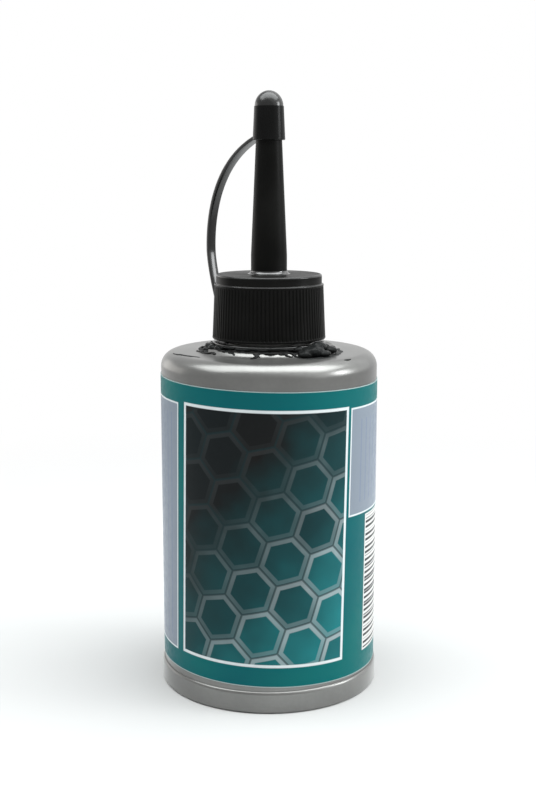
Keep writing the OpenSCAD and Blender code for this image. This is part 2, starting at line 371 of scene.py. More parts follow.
def silver_plastic():
    """Silver pigment in polyethylene: satin, faintly cloudy, with fine flakes and a mould line."""
    material, tree, shader, place = start_material("silver_plastic")
    clouds = maths(tree, "MULTIPLY", noise(tree, place, cloud_scale, 3.0), 1 - flake_share)
    flakes = maths(tree, "MULTIPLY", noise(tree, place, flake_scale, 0.0), flake_share)
    shade = ramp_between(tree, maths(tree, "ADD", clouds, flakes), 0.3, 0.7)
    colour = two_tones(tree, shade, silver_dark, silver_light)
    tree.links.new(colour.outputs["Color"], shader.inputs["Base Color"])
    rubs = noise(tree, place, rub_scale, 3.0)
    roughness = ramp_between(tree, rubs, 0.3, 0.75, *silver_roughness)
    tree.links.new(roughness, shader.inputs["Roughness"])
    side = add_node(tree, "ShaderNodeSeparateXYZ", {"Vector": place})
    from_line = maths(tree, "ABSOLUTE", side.outputs["Y"])
    mould_line = ramp_between(tree, from_line, 0.0, mould_line_w * MM, 1.0, 0.0)
    relief(tree, shader, mould_line, 0.3, mould_line_h)
    shader.inputs["Metallic"].default_value = 0.75
    return material


stand_outer = body_r - base_round
stand_inner = stand_outer - standing_ring
dome_round = push_up / 2
inner_r = panel_r - wall
inner_floor_round = base_round + wall / 2
inner_round = shoulder_round - wall
band_head_angles = [math.radians(a) for a in range(0, 91, 15)]
band_head_arc = [
    (panel_r + band_rise * math.cos(a), base_band - band_head * (1 - math.sin(a)))
    for a in band_head_angles
]
bottle_outline = (
    [(0, push_up)]
    + arc((stand_inner - dome_round, push_up - dome_round), dome_round, 90, 0)
    + arc((stand_inner + standing_round, standing_round), standing_round, 180, 270, 5)
    + arc((stand_outer, base_round), base_round, -90, 0, 8)
    + band_head_arc
    + [(panel_r, base_band + side_low_margin)]
    + [(panel_r, shoulder_z - shoulder_round - side_high_margin)]
    + arc((panel_r - shoulder_round, shoulder_z - shoulder_round), shoulder_round, 0, 88, 18)
    + rise_profile
    + [(land_r, land_z)]
    + arc((neck_r + neck_fillet, land_z + neck_fillet), neck_fillet, -90, -180, 5)
    + [(neck_r, bead_z)]
    + arc((bead_r - bead_h / 2, bead_z + bead_h / 2), bead_h / 2, -70, 70, 6)
    + [(neck_r, bead_z + bead_h)]
    + arc((neck_r - lip_round, lip_z - lip_round), lip_round, 0, 90, 4)
    + arc((neck_bore + lip_round, lip_z - lip_round), lip_round, 90, 180, 4)
    + [(neck_bore, land_z + throat_h), (neck_bore + throat_flare, land_z - wall)]
    + arc((inner_r - inner_round, shoulder_z - wall - inner_round), inner_round, 90, 0)
    + arc((inner_r - inner_floor_round, wall + inner_floor_round), inner_floor_round, 0, -90)
    + arc((stand_inner - dome_round, push_up - dome_round), dome_round + wall, 0, 90, 6)
    + [(0, push_up + wall)]
)
bottle = lathe("bottle_body", bottle_outline, body_steps, closed=False)
bpy.ops.object.mode_set(mode="EDIT")
bpy.ops.mesh.select_all(action="DESELECT")
bpy.ops.mesh.primitive_cube_add(
    size=1,
    location=(0, 0, push_up * MM),
    scale=(weld_length * MM, weld_width * MM, 2 * weld_depth * MM),
)
bpy.ops.mesh.bevel(offset=weld_bevel * MM, segments=3)
bpy.ops.object.mode_set(mode="OBJECT")
neck_thread_z = thread_top - thread_pitch * thread_turns
join_to(bottle, screw_thread("neck_thread", neck_r - thread_sunk, thread_r, neck_thread_z))
bottle.data.materials.append(silver_plastic())
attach(bottle, "bottle")
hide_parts("bottle")

# The lubricant inside is a dark graphite grease that lies level under a small headspace.
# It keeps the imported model's shape, because the bottle hides it.
oil_black = (0.010, 0.010, 0.012)
graphite_grey = (0.045, 0.045, 0.050)
graphite_scale = 2600.0
swirl_scale = 140.0


def graphite_grease():
    """Dark grey grease with a metallic sheen and a fine grain of graphite."""
    material, tree, shader, place = start_material("graphite_grease")
    swirl = noise(tree, place, swirl_scale, 3.0)
    colour = two_tones(tree, noise(tree, place, graphite_scale, 6.0), oil_black, graphite_grey)
    tree.links.new(colour.outputs["Color"], shader.inputs["Base Color"])
    roughness = ramp_between(tree, swirl, 0.3, 0.7, 0.25, 0.5)
    tree.links.new(roughness, shader.inputs["Roughness"])
    relief(tree, shader, swirl, 0.4, 0.4)
    shader.inputs["Metallic"].default_value = 0.35
    return material


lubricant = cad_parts["lubricant_fill"]
lubricant.data.materials.clear()
lubricant.data.materials.append(graphite_grease())

# The label is one strip of printed film, wrapped round the panel with its seam at the back.
# It was put on slightly crooked, so that its right side lies lower than its left.
label_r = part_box("label")[1].x / MM
label_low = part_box("label")[0].z / MM
label_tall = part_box("label")[1].z / MM - label_low
label_thick = 0.1
label_seam = 2.0
label_tilt = math.tan(math.radians(1.353))
label_steps = 190
film_roughness = (0.34, 0.46)
scuff_scale = 900.0
film_wave_scale = 70.0
film_wave_h = 0.2
teal_blue = (0.0012, 0.062, 0.073)
teal_green = (0.002, 0.084, 0.082)
mist_scale = 45.0
ink_blur = 0.08
line_white = (0.42, 0.45, 0.46)

# Places on the print are to the right of the front's middle, and above the label's foot.
picture_left = -18.28
picture_right = 15.75
picture_low = 3.85
picture_high = 52.62
panel_low = 3.62
panel_high = 52.25
picture_line = 0.55
left_panel_edge = -20.18
left_panel_back = -56.0
right_panel_edge = 16.45
right_panel_back = 56.0
right_panel_low = 31.5
panel_line = 0.3
panel_blue = (0.140, 0.164, 0.195)
left_rule_margin = 2.2
right_rule_margin = 2.4
rule_pitch = 1.85
rule_shift = 0.45
rule_w = 0.34
rule_share = 0.55
rule_blue = (0.10, 0.12, 0.19)
patch_edge = 22.15
patch_back = 44.0
patch_high = 31.05
patch_white = (0.42, 0.42, 0.41)
bar_margin = 0.35
bar_pitches = (1.27, 0.83)
bar_blur = 0.35
bar_black = (0.02, 0.02, 0.022)
# A pale line along the film's top and bottom cut edges is a painted highlight, for the light that the
# thin edge catches.
edge_highlight_w = 0.14
edge_highlight_blur = 0.05
edge_highlight_paint = (0.22, 0.28, 0.28)

# The picture is a honeycomb of cells with grooved grey walls, lit from its lower right.
cell_w = 8.6
cell_turn = math.radians(17)
cells_aside = 50
cell_wall_w = 0.95
cell_wall_blur = 0.1
cell_wall_grey = (0.30, 0.33, 0.34)
cell_groove = (0.1, 0.28)
cell_groove_share = 0.7
cell_groove_dark = (0.006, 0.016, 0.018)
cell_floor_dark = (0.004, 0.010, 0.012)
plain_cells = 0.35
cell_floor_share = 0.75
picture_dark = (0.006, 0.006, 0.006)
picture_middle = (0.005, 0.036, 0.040)
picture_teal = (0.010, 0.135, 0.145)
light_across = 62
light_down = 72
light_cloud = 0.35
light_cloud_scale = 0.12
light_less = 0.17
light_from = (-0.5, 0.87, 0)


def box_depth(tree, u, v, left, right, low, high):
    """How far a point lies inside a rectangle of the print, in millimetres."""
    across = maths(tree, "MINIMUM", maths(tree, "SUBTRACT", u, left), maths(tree, "SUBTRACT", right, u))
    up = maths(tree, "MINIMUM", maths(tree, "SUBTRACT", v, low), maths(tree, "SUBTRACT", high, v))
    return maths(tree, "MINIMUM", across, up)


def past(tree, value, edge, blur=ink_blur):
    """1 where a value is past an edge, with the soft step of printed ink."""
    return ramp_between(tree, value, edge - blur, edge + blur)


def over(tree, under, share, ink):
    """Prints an ink, a colour or a socket, over what is there, by a share."""
    # Of a Mix node's sockets, 6 and 7 in and 2 out are the ones for colours.
    made = add_node(tree, "ShaderNodeMix", {"Factor": share}, data_type="RGBA")
    tree.links.new(under, made.inputs[6])
    if isinstance(ink, bpy.types.NodeSocket):
        tree.links.new(ink, made.inputs[7])
    else:
        made.inputs[7].default_value = (*ink, 1)
    return made.outputs[2]


def honeycomb(tree, u, v):
    """A picture of a raised honeycomb that comes out of the dark into teal light."""
    flat = add_node(tree, "ShaderNodeCombineXYZ", {"X": u, "Y": v}).outputs["Vector"]
    aside = (cells_aside * cell_w, cells_aside * cell_w, 0)
    turned = add_node(
        tree, "ShaderNodeMapping", {"Vector": flat, "Location": aside, "Rotation": (0, 0, cell_turn)}
    ).outputs["Vector"]

    def vector(operation, *values):
        made = add_node(tree, "ShaderNodeVectorMath", dict(enumerate(values)), operation=operation)
        return made.outputs["Value" if operation in ("LENGTH", "DOT_PRODUCT") else "Vector"]

    period = (cell_w, cell_w * math.sqrt(3), 1)
    half = (period[0] / 2, period[1] / 2, 0)
    first = vector("SUBTRACT", vector("MODULO", turned, period), half)
    second = vector("SUBTRACT", vector("MODULO", vector("ADD", turned, half), period), half)
    nearer = maths(tree, "LESS_THAN", vector("LENGTH", first), vector("LENGTH", second))
    # Sockets 4 and 5 in and 1 out are the ones for vectors.
    choice = add_node(tree, "ShaderNodeMix", {"Factor": nearer}, data_type="VECTOR")
    tree.links.new(second, choice.inputs[4])
    tree.links.new(first, choice.inputs[5])
    from_centre = choice.outputs[1]
    absolute = vector("ABSOLUTE", from_centre)
    slanted = vector("DOT_PRODUCT", absolute, (0.5, math.sqrt(3) / 2, 0))
    across = add_node(tree, "ShaderNodeSeparateXYZ", {"Vector": absolute}).outputs["X"]
    inside = maths(tree, "SUBTRACT", cell_w / 2, maths(tree, "MAXIMUM", across, slanted))
    cell = vector("SNAP", vector("SUBTRACT", turned, from_centre), (cell_w / 8, cell_w / 8, 1))
    chance = add_node(tree, "ShaderNodeTexWhiteNoise", {"Vector": cell}).outputs["Value"]

    to_right = maths(tree, "MULTIPLY", u, 1 / light_across)
    to_foot = maths(tree, "MULTIPLY", maths(tree, "SUBTRACT", picture_high, v), 1 / light_down)
    cloud = maths(tree, "MULTIPLY", noise(tree, flat, light_cloud_scale, 2.0), light_cloud)
    lit = maths(tree, "ADD", maths(tree, "ADD", to_right, to_foot), cloud)
    lit = maths(tree, "SUBTRACT", lit, light_less)
    depth = two_tones(tree, lit, picture_dark, picture_teal, 0.05, 0.95)
    middle = depth.color_ramp.elements.new(0.45)
    middle.color = (*picture_middle, 1)
    deeper = maths(tree, "MULTIPLY", maths(tree, "SUBTRACT", chance, plain_cells), cell_floor_share)
    picture = over(tree, depth.outputs["Color"], maths(tree, "MAXIMUM", deeper, 0.0), cell_floor_dark)
    tilt = maths(tree, "DIVIDE", vector("DOT_PRODUCT", from_centre, light_from), cell_w / 2)
    facet = ramp_between(tree, tilt, -0.9, 0.9, 0.35, 1.0)
    glint = maths(tree, "MULTIPLY", facet, ramp_between(tree, lit, 0.1, 0.85, 0.03, 0.62))
    wall_ink = over(tree, picture, glint, cell_wall_grey)
    wall_start, wall_end = cell_wall_w - cell_wall_blur, cell_wall_w + cell_wall_blur
    wall_share = ramp_between(tree, inside, wall_start, wall_end, 1.0, 0.0)
    groove_share = ramp_between(tree, inside, *cell_groove, cell_groove_share, 0.0)
    picture = over(tree, picture, wall_share, wall_ink)
    return over(tree, picture, groove_share, cell_groove_dark)


def printed_film():
    """The print: a teal ground, side panels, a striped patch and a framed honeycomb picture."""
    material, tree, shader, place = start_material("printed_film")
    xyz = add_node(tree, "ShaderNodeSeparateXYZ", {"Vector": place})
    x = maths(tree, "MULTIPLY", xyz.outputs["X"], 1 / MM)
    front = maths(tree, "MULTIPLY", xyz.outputs["Y"], -1 / MM)
    z = maths(tree, "MULTIPLY", xyz.outputs["Z"], 1 / MM)
    levelled = maths(tree, "ADD", z, maths(tree, "MULTIPLY", x, label_tilt))
    v = maths(tree, "SUBTRACT", levelled, label_low)
    along = maths(tree, "MULTIPLY", maths(tree, "ARCTAN2", x, front), label_r)
    lean = maths(tree, "MULTIPLY", maths(tree, "SUBTRACT", v, label_tall / 2), label_tilt)
    u = maths(tree, "SUBTRACT", along, lean)

    mist = noise(tree, place, mist_scale, 3.0)
    ink = two_tones(tree, mist, teal_blue, teal_green, 0.3, 0.7).outputs["Color"]

    left_panel = box_depth(tree, u, v, left_panel_back, left_panel_edge, panel_low, panel_high)
    right_panel = box_depth(tree, u, v, right_panel_edge, right_panel_back, right_panel_low, panel_high)
    rule_wave = maths(tree, "PINGPONG", maths(tree, "ADD", u, rule_shift), rule_pitch / 2)
    ruled = past(tree, maths(tree, "SUBTRACT", rule_w / 2, rule_wave), 0.0)
    for panel, margin in ((left_panel, left_rule_margin), (right_panel, right_rule_margin)):
        ink = over(tree, ink, past(tree, panel, 0.0), line_white)
        ink = over(tree, ink, past(tree, panel, panel_line), panel_blue)
        lines = maths(tree, "MULTIPLY", ruled, past(tree, panel, margin))
        ink = over(tree, ink, maths(tree, "MULTIPLY", lines, rule_share), rule_blue)
    patch = box_depth(tree, u, v, patch_edge, patch_back, picture_low, patch_high)
    ink = over(tree, ink, past(tree, patch, 0.0), patch_white)
    beat = [maths(tree, "SINE", maths(tree, "MULTIPLY", v, math.tau / pitch)) for pitch in bar_pitches]
    bars = past(tree, maths(tree, "ADD", beat[0], beat[1]), 0.0, bar_blur)
    ink = over(tree, ink, maths(tree, "MULTIPLY", bars, past(tree, patch, bar_margin)), bar_black)

    picture = box_depth(tree, u, v, picture_left, picture_right, picture_low, picture_high)
    ink = over(tree, ink, past(tree, picture, 0.0), line_white)
    ink = over(tree, ink, past(tree, picture, picture_line), honeycomb(tree, u, v))
    # Painted highlight: a pale line along the top and bottom cut edges of the film.
    from_cut = maths(tree, "MINIMUM", v, maths(tree, "SUBTRACT", label_tall, v))
    edge_highlight_share = past(tree, maths(tree, "SUBTRACT", 0.0, from_cut), -edge_highlight_w, edge_highlight_blur)
    ink = over(tree, ink, edge_highlight_share, edge_highlight_paint)
    tree.links.new(ink, shader.inputs["Base Color"])

    scuffs = noise(tree, place, scuff_scale, 6.0)
    roughness = ramp_between(tree, scuffs, 0.35, 0.7, *film_roughness)
    tree.links.new(roughness, shader.inputs["Roughness"])
    relief(tree, shader, noise(tree, place, film_wave_scale, 2.0), 0.25, film_wave_h)
    shader.inputs["Specular IOR Level"].default_value = 0.05
    return material


bpy.ops.object.select_all(action="DESELECT")
bpy.ops.mesh.primitive_plane_add(size=1, location=(0, 0, 0), rotation=(math.pi / 2, 0, 0))
label = bpy.context.object
label.name = "wrap_label"
label.data.name = "wrap_label"
label.scale = (label_thick * MM, label_tall * MM, 1)
label.location = ((label_r - label_thick / 2) * MM, 0, (label_low + label_tall / 2) * MM)
bpy.ops.object.transform_apply(location=True, rotation=True, scale=True)
bpy.ops.object.mode_set(mode="EDIT")
bpy.ops.mesh.select_all(action="SELECT")
seam_angle = label_seam / label_r
bpy.ops.mesh.spin(steps=label_steps, angle=math.tau - seam_angle, center=(0, 0, 0), axis=(0, 0, 1))
bpy.ops.mesh.select_all(action="SELECT")
bpy.ops.mesh.remove_doubles(threshold=doubles_reach)
bpy.ops.mesh.normals_make_consistent(inside=False)
bpy.ops.object.mode_set(mode="OBJECT")
label.rotation_euler.z = math.pi / 2 - seam_angle / 2
bpy.ops.object.transform_apply(rotation=True)
for vertex in label.data.vertices:
    vertex.co.z -= vertex.co.x * label_tilt
bpy.ops.object.shade_smooth_by_angle(angle=smooth_below)
label.data.materials.append(printed_film())
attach(label, "bottle")
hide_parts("label")

# The closure is one black polypropylene moulding: a ribbed skirt that tapers upwards, a plain
# stepped band, a flat top with a fillet, and the long hollow spout that the lubricant runs through.
skirt_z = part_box("closure")[0].z / MM
tip_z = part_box("closure")[1].z / MM
skirt_r = 10.94
skirt_top_r = 10.51
closure_bore = 9.02
bore_chamfer = 0.25
bore_round = 0.3
least_wall = 0.6
rim_rise = 0.04
rib_margin = 0.4
rim_round = 0.14
rib_count = 88
rib_steps = 6
groove_steps = 2
rib_depth = 0.17
rib_run_out = 0.3
rib_end = 0.05
step_in = 0.35
step_h = 1.85
spout_h = 31.4
foot_r = 3.47
foot_h = 3.6
foot_fillet = 0.8
spout_tip_r = 2.21
spout_step = 5.0
orifice_r = 0.6
orifice_l = 2.6
channel_r = 2.2
channel_chamfer = 0.2
tip_round = 0.4
corner_round = 0.1
polish_low = 0.02
polish_high = 0.8 * foot_fillet
washer_h = 0.8
mark_scale = 130.0
grain_h = 0.04
deck_z = tip_z - spout_h
step_z = deck_z - step_h
deck_low = lip_z + washer_h
edge_r = skirt_top_r + rim_rise
step_r = edge_r - step_in
rib_low = skirt_z + rib_margin
rib_high = step_z - rib_margin


def spout_radius(z):
    """The spout's outside, above its parallel foot."""
    return foot_r + (spout_tip_r - foot_r) * (z - deck_z - foot_h) / (spout_h - foot_h)


def black_moulding(name, dark, light, roughness_low, roughness_high, grain_scale, gloss):
    """Black moulded plastic with a fine grain, a little dust and handling marks."""
    material, tree, shader, place = start_material(name)
    marks = noise(tree, place, mark_scale, 5.0)
    colour = two_tones(tree, marks, dark, light, 0.35, 0.7)
    tree.links.new(colour.outputs["Color"], shader.inputs["Base Color"])
    roughness = ramp_between(tree, marks, 0.3, 0.7, roughness_low, roughness_high)
    tree.links.new(roughness, shader.inputs["Roughness"])
    relief(tree, shader, noise(tree, place, grain_scale, 4.0), 0.3, grain_h)
    shader.inputs["Specular IOR Level"].default_value = gloss
    return material


skirt_levels = [rib_low, rib_low + rib_run_out, rib_high - rib_run_out, rib_high]


def skirt_radius(z):
    """The crests of the ribs follow the skirt's draft."""
    return skirt_r + (skirt_top_r - skirt_r) * (z - rib_low) / (rib_high - rib_low)


taper_z = deck_z + foot_h
spout_levels = [taper_z + k * spout_step for k in range(1, 6)]
closure_outline = (
    [(closure_bore, skirt_z + bore_chamfer), (closure_bore + bore_chamfer, skirt_z)]
    + arc((skirt_r + rim_rise - rim_round, skirt_z + rim_round), rim_round, -90, 0, 4)
    + [(skirt_r + rim_rise, rib_low - rib_end)]
    + [(skirt_radius(level), level) for level in skirt_levels]
    + [(edge_r, rib_high + rib_end)]
    + arc((edge_r - rim_round, step_z - rim_round), rim_round, 0, 90, 4)
    + arc((step_r + corner_round, step_z + corner_round), corner_round, -90, -180, 3)
    + arc((step_r - step_in, deck_z - step_in), step_in, 0, 90, 6)
    + arc((foot_r + foot_fillet, deck_z + foot_fillet), foot_fillet, -90, -180, 7)
    + [(foot_r, taper_z)]
    + [(spout_radius(level), level) for level in spout_levels]
    + arc((spout_tip_r - tip_round, tip_z - tip_round), tip_round, 10, 90, 4)
    + arc((orifice_r + corner_round, tip_z - corner_round), corner_round, 90, 180, 3)
    + [(orifice_r, tip_z - orifice_l)]
    + [(channel_r, deck_low + channel_chamfer), (channel_r + channel_chamfer, deck_low)]
    + arc((closure_bore - bore_round, deck_low - bore_round), bore_round, 90, 0, 4)
)
closure = lathe("spout_closure", closure_outline, rib_count * rib_steps)
bpy.ops.object.mode_set(mode="EDIT")
bpy.ops.mesh.select_all(action="DESELECT")
bpy.ops.object.mode_set(mode="OBJECT")
low_groove = (rib_low + 0.5 * rib_run_out) * MM
high_groove = (rib_high - 0.5 * rib_run_out) * MM
for vertex in closure.data.vertices:
    reach = math.hypot(vertex.co.x, vertex.co.y)
    turn = math.atan2(vertex.co.y, vertex.co.x) / math.tau * rib_count * rib_steps
    in_groove = round(turn) % rib_steps < groove_steps
    on_skirt = low_groove < vertex.co.z < high_groove and reach > (closure_bore + least_wall) * MM
    vertex.select = in_groove and on_skirt
bpy.ops.object.mode_set(mode="EDIT")
groove_scale = 1 - rib_depth / skirt_r
bpy.ops.transform.resize(value=(groove_scale, groove_scale, 1), center_override=(0, 0, 0))
bpy.ops.object.mode_set(mode="OBJECT")
bpy.ops.object.shade_smooth_by_angle(angle=smooth_below)
jet_black = (0.004, 0.004, 0.004)

# Each finish: its name, dark and light tone, least and most roughness, grain and gloss.
closure_finishes = (
    ("closure_plastic", (0.003, 0.003, 0.0028), (0.005, 0.005, 0.0047), 0.32, 0.42, 3500.0, 0.03),
    ("polished_fillet", jet_black, (0.006, 0.006, 0.006), 0.10, 0.16, 900.0, 0.6),
    ("rubbed_edges", jet_black, (0.008, 0.008, 0.008), 0.22, 0.30, 900.0, 0.22),
)
for finish in closure_finishes:
    closure.data.materials.append(black_moulding(*finish))
for face in closure.data.polygons:
    reach = math.hypot(face.center.x, face.center.y) / MM
    face_z = face.center.z / MM
    above_deck = face_z - deck_z
    at_fillet = polish_low < above_deck < polish_high and foot_r < reach < foot_r + foot_fillet
    at_deck_edge = -step_in < above_deck < 0 and reach > step_r - step_in
    at_skirt_top = abs(face_z - step_z) < rim_round and reach > step_r
    at_skirt_rim = face_z < skirt_z + rim_round and reach > skirt_r - rim_round
    if at_fillet:
        face.material_index = 1
    elif at_deck_edge or at_skirt_top or at_skirt_rim:
        face.material_index = 2
closure_thread_z = neck_thread_z - thread_pitch / 2
closure_root = closure_bore + thread_sunk
closure_crest = closure_bore - (thread_r - neck_r)
join_to(closure, screw_thread("closure_thread", closure_root, closure_crest, closure_thread_z))
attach(closure, "closure")
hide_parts("closure")

# The washer is punched from pale closed-cell foam and lies loose between the neck's lip
# and the underside of the closure's top.
washer_low, washer_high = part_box("seal_washer")
washer_r = washer_high.x / MM
washer_hole = 3.2
foam_round = 0.15
washer_steps = 96
foam_pale = (0.80, 0.78, 0.72)
foam_shaded = (0.66, 0.64, 0.58)
foam_cell_scale = 4200.0
foam_cell_h = 0.1


def foam():
    """Pale foam with fine closed cells."""
    material, tree, shader, place = start_material("washer_foam")
    cells = add_node(tree, "ShaderNodeTexVoronoi", {"Vector": place, "Scale": foam_cell_scale})
    from_cell = cells.outputs["Distance"]
    colour = two_tones(tree, from_cell, foam_pale, foam_shaded)
    tree.links.new(colour.outputs["Color"], shader.inputs["Base Color"])
    relief(tree, shader, from_cell, 0.5, foam_cell_h)
    shader.inputs["Roughness"].default_value = 0.85
    return material


def flat_ring(hole, outer, low, high, rounding):
    """Outline of a flat ring with rounded edges, between two radii and two heights."""
    return (
        arc((outer - rounding, low + rounding), rounding, -90, 0, 4)
        + arc((outer - rounding, high - rounding), rounding, 0, 90, 4)
        + arc((hole + rounding, high - rounding), rounding, 90, 180, 4)
        + arc((hole + rounding, low + rounding), rounding, 180, 270, 4)
    )


washer_outline = flat_ring(washer_hole, washer_r, washer_low.z / MM, washer_high.z / MM, foam_round)
washer = lathe("foam_washer", washer_outline, washer_steps)
washer.data.materials.append(foam())
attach(washer, "washer")
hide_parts("seal_washer")

# The tip cap is a small domed thimble of soft black polyethylene, with a pin that plugs the
# spout's hole. It is pushed over the spout's tip and hangs on the strap when it is off.
cap_tab_drop = 0.5
cap_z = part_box("tip_cap")[0].z / MM + cap_tab_drop
cap_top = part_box("tip_cap")[1].z / MM
cap_wall = 0.55
cap_play = 0.05
cap_chamfer = 0.12
socket_chamfer = 0.1
crease_step = 0.09
dome_from = 0.05
cap_steps = 96
pin_r = orifice_r - cap_play
pin_l = 2.0
pin_chamfer = 0.15
pin_chamfer_h = 0.2
pin_z = tip_z - pin_l
socket_r = spout_radius(cap_z) + cap_play
crease_z = tip_z + crease_step
cap_rim_r = socket_r + cap_wall
cap_head_r = spout_tip_r + cap_play + cap_wall
dome_h = cap_top - crease_z
dome_r = cap_head_r - crease_step
dome_angles = [math.radians(a) for a in range(0, 91, 9)]
dome = [(dome_r * math.cos(a), crease_z + dome_h * math.sin(a)) for a in dome_angles]
cap_outline = (
    [(cap_rim_r - cap_chamfer, cap_z), (cap_rim_r, cap_z + cap_chamfer), (cap_head_r, crease_z)]
    + dome[:-1]
    + [(0, cap_top), (0, pin_z), (pin_r - pin_chamfer, pin_z), (pin_r, pin_z + pin_chamfer_h)]
    + [(pin_r, tip_z), (spout_tip_r + cap_play, tip_z)]
    + [(socket_r, cap_z + socket_chamfer), (socket_r + socket_chamfer, cap_z)]
)
cap = lathe("spout_cap", cap_outline, cap_steps)
cap_black = (0.003, 0.003, 0.003)
worn_black = (0.005, 0.005, 0.005)
cap_finishes = (
    ("cap_wall_plastic", cap_black, worn_black, 0.20, 0.30, 3000.0, 0.045),
    ("cap_dome_plastic", cap_black, worn_black, 0.19, 0.25, 900.0, 0.30),
)
for finish in cap_finishes:
    cap.data.materials.append(black_moulding(*finish))
for face in cap.data.polygons:
    if face.center.z > (crease_z + dome_from) * MM and face.normal.z > 0:
        face.material_index = 1
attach(cap, "cap")
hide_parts("tip_cap")

# The ring is moulded with the strap and the cap. It hangs loose round the neck under the
# closure's rim, with a short tab where the strap leaves it behind the bottle's left side.
ring_low_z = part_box("tether_ring")[0].z / MM
ring_high_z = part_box("tether_ring")[1].z / MM
ring_hole = 9.06
ring_outer = 10.96
ring_round = 0.25
ring_steps = 128
strap_w = 1.8
strap_t = 0.7
strap_turn = math.radians(132)
tab_bevel = 0.1


def on_strap_plane(reach, height):
    """A point in the upright plane of the strap, at a distance from the axis and a height."""
    return (reach * math.cos(strap_turn) * MM, reach * math.sin(strap_turn) * MM, height * MM)


ring_outline = flat_ring(ring_hole, ring_outer, ring_low_z, ring_high_z, ring_round)
ring = lathe("tether_ring_moulding", ring_outline, ring_steps)
ring_mid_z = (ring_low_z + ring_high_z) / 2
bpy.ops.object.mode_set(mode="EDIT")
bpy.ops.mesh.select_all(action="DESELECT")
bpy.ops.mesh.primitive_cube_add(
    size=1,
    location=on_strap_plane(ring_outer, ring_mid_z),
    rotation=(0, 0, strap_turn),
    scale=(strap_t * MM, (strap_w + strap_t) * MM, strap_t * MM),
)
bpy.ops.mesh.bevel(offset=tab_bevel * MM, segments=2)
bpy.ops.object.mode_set(mode="OBJECT")
tether_black = black_moulding("tether_plastic", cap_black, worn_black, 0.13, 0.17, 900.0, 0.32)
ring.data.materials.append(tether_black)
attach(ring, "tether")
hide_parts("tether_ring")

# The strap is a thin flat band of the same moulding. It stands up from the ring's tab, bows
# out past the closure and comes in to the cap's rim.
strap_bevel = 0.12
bevel_above = math.radians(50)

# Each stop of its middle line: the handle before, the point and the handle after, as (reach, height).
strap_route = [
    ((11.25, 67.15), (11.25, 67.15), (11.72, 67.15)),
    ((11.59, 67.94), (12.01, 68.50), (13.93, 71.06)),
    ((17.23, 80.03), (17.50, 84.52), (17.70, 91.52)),
    ((15.34, 101.60), (4.00, 106.15), (3.65, 106.29)),
    ((3.30, 106.42), (2.95, 106.56), (2.60, 106.70)),
]
bpy.ops.object.select_all(action="DESELECT")
bpy.ops.curve.primitive_bezier_curve_add(location=(0, 0, 0))
strap = bpy.context.object
strap.name = "tether_strap_band"
spline = strap.data.splines[0]
spline.bezier_points.add(len(strap_route) - len(spline.bezier_points))
strap.data.resolution_u = 24
for point, (before, middle, after) in zip(spline.bezier_points, strap_route):
    point.handle_left_type = "FREE"
    point.handle_right_type = "FREE"
    point.co = (middle[0] * MM, 0, middle[1] * MM)
    point.handle_left = (before[0] * MM, 0, before[1] * MM)
    point.handle_right = (after[0] * MM, 0, after[1] * MM)
bpy.ops.object.convert(target="MESH")
strap = bpy.context.object
bpy.ops.object.mode_set(mode="EDIT")
bpy.ops.mesh.select_all(action="SELECT")
bpy.ops.transform.translate(value=(0, -strap_w / 2 * MM, 0))
bpy.ops.mesh.extrude_region_move(TRANSFORM_OT_translate={"value": (0, strap_w * MM, 0)})
bpy.ops.mesh.select_all(action="SELECT")
bpy.ops.mesh.normals_make_consistent(inside=False)
bpy.ops.object.mode_set(mode="OBJECT")
thickness = strap.modifiers.new("thickness", "SOLIDIFY")
thickness.thickness = strap_t * MM
thickness.offset = 0
bpy.ops.object.modifier_apply(modifier="thickness")
edges = strap.modifiers.new("edges", "BEVEL")
edges.width = strap_bevel * MM
edges.segments = 2
edges.limit_method = "ANGLE"
edges.angle_limit = bevel_above
bpy.ops.object.modifier_apply(modifier="edges")
strap.rotation_euler.z = strap_turn
bpy.ops.object.transform_apply(rotation=True)
bpy.ops.object.shade_smooth_by_angle(angle=smooth_below)
strap.data.materials.append(tether_black)
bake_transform(strap)
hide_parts("tether_strap")

# Grease has oozed out under the closure, as it does on a bottle that has been used: wet lumps
# cling to the ring and lie in a pile at the right, and a thin film and flecks lie on the shoulder.
grease_voxel = 0.11
grease_chance = random.Random(11)
grease_black = (0.003, 0.003, 0.003)
grease_grey = (0.012, 0.013, 0.013)
streak_scale = 500.0
drop_spacing = 0.55
drop_flatness = 0.8
stroke_end = 0.05
stroke_least = 0.65
stroke_more = 0.7
ripple_size = 1.6
ring_lump_r = 11.1
ring_lump_z = 67.28
pile_floor = 66.06


def shoulder_height(reach):
    """Height of the bottle's shoulder at a distance from the axis."""
    flat_r = panel_r - shoulder_round
    if reach > flat_r:
        return shoulder_z - shoulder_round + math.sqrt(shoulder_round**2 - (reach - flat_r) ** 2)
    outer_r, outer_z = flat_r, shoulder_z
    for inner_r, inner_z in rise_profile:
        if reach > inner_r:
            return inner_z + (outer_z - inner_z) * (reach - inner_r) / (outer_r - inner_r)
        outer_r, outer_z = inner_r, inner_z
    return outer_z


def film(start, end, width, height, wave=0.0, waves=1.0):
    """Flat drops for grease(), along a stroke over the shoulder between two (azimuth, reach)."""
    drops = []
    length = math.hypot(math.radians(end[0] - start[0]) * (start[1] + end[1]) / 2, end[1] - start[1])
    count = max(2, round(length / (width * drop_spacing)))
    for i in range(count + 1):
        share = i / count
        swing = wave * math.sin(math.tau * waves * share)
        reach = start[1] + (end[1] - start[1]) * share + swing
        azimuth = start[0] + (end[0] - start[0]) * share + grease_chance.uniform(-0.5, 0.5)
        fullness = math.sin(math.pi * min(1 - stroke_end, stroke_end + share))
        size = width * (stroke_least + stroke_more * fullness * grease_chance.uniform(0.5, 1))
        drops.append((azimuth, reach, shoulder_height(reach), size, size * drop_flatness, height))
    return drops


